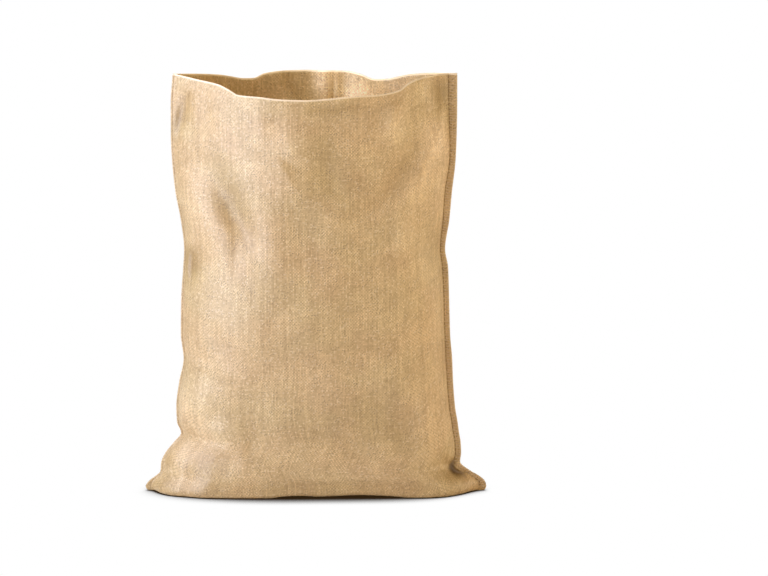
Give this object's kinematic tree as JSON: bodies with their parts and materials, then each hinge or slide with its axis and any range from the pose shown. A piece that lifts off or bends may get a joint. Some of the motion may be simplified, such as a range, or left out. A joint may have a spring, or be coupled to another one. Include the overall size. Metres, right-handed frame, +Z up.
{
  "type": "burlap bag",
  "caption": "Open sack of plain jute cloth, folded along one side and sewn along the other side and the bottom, standing upright with an open mouth and flat bottom corners.",
  "frame": {"origin": "on the floor under the middle of the standing bag", "axes": "+Z up through the mouth, -Y the front, -X the folded side, +X the sewn side"},
  "size_m": [0.6688, 0.3128, 0.82],
  "materials": {
    "burlap": "raw plain-weave jute, dry and dull"
  },
  "bodies": {
    "root": {"bag_cloth": "burlap"}
  },
  "joints": []
}
